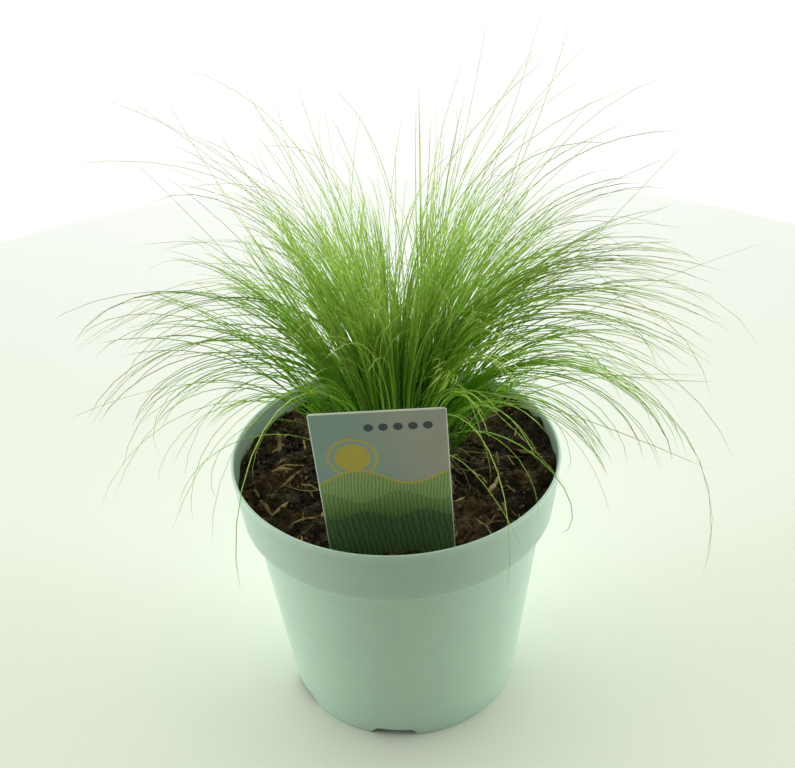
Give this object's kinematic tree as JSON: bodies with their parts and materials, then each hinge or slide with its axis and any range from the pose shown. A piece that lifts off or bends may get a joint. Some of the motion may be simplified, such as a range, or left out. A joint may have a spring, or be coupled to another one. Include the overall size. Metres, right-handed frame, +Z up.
{
  "type": "potted mexican feather grass",
  "caption": "Tuft of hair-fine arching grass in a round mint plastic nursery pot, with soil and a stake label standing in front.",
  "frame": {"origin": "on the floor, on the pot's axis, which is the middle of the whole part's footprint box", "axes": "+Z up along the pot's axis; -Y towards the label, the front; +X to the right seen from the front"},
  "size_m": [0.365, 0.3149, 0.3693],
  "materials": {
    "pot_plastic": "satin moulded, faint scuffs",
    "soil": "damp, crumbly, with wood chips",
    "label_card": "printed, semi-gloss",
    "grass_base": "dry sheaths and dark green bases",
    "grass": "satin, paler at the tips"
  },
  "bodies": {
    "root": {"pot": "pot_plastic", "soil": "soil", "label": "label_card", "crown": "grass_base", "skirt_lock_01": "grass", "skirt_lock_02": "grass", "skirt_lock_03": "grass", "skirt_lock_04": "grass", "skirt_lock_05": "grass", "skirt_lock_06": "grass", "skirt_lock_07": "grass", "skirt_lock_08": "grass", "skirt_lock_09": "grass", "skirt_lock_10": "grass", "skirt_lock_11": "grass", "skirt_lock_12": "grass", "skirt_lock_13": "grass", "skirt_lock_14": "grass", "outer_lock_01": "grass", "outer_lock_02": "grass", "outer_lock_03": "grass", "outer_lock_04": "grass", "outer_lock_05": "grass", "outer_lock_06": "grass", "outer_lock_07": "grass", "outer_lock_08": "grass", "outer_lock_09": "grass", "outer_lock_10": "grass", "outer_lock_11": "grass", "outer_lock_12": "grass", "outer_lock_13": "grass", "outer_lock_14": "grass", "middle_lock_01": "grass", "middle_lock_02": "grass", "middle_lock_03": "grass", "middle_lock_04": "grass", "middle_lock_05": "grass", "middle_lock_06": "grass", "middle_lock_07": "grass", "middle_lock_08": "grass", "middle_lock_09": "grass", "middle_lock_10": "grass", "middle_lock_11": "grass", "middle_lock_12": "grass", "inner_lock_01": "grass", "inner_lock_02": "grass", "inner_lock_03": "grass", "inner_lock_04": "grass", "inner_lock_05": "grass", "inner_lock_06": "grass", "inner_lock_07": "grass", "inner_lock_08": "grass", "heart_lock_01": "grass", "heart_lock_02": "grass", "heart_lock_03": "grass", "heart_lock_04": "grass", "heart_lock_05": "grass", "heart_lock_06": "grass"}
  },
  "joints": []
}
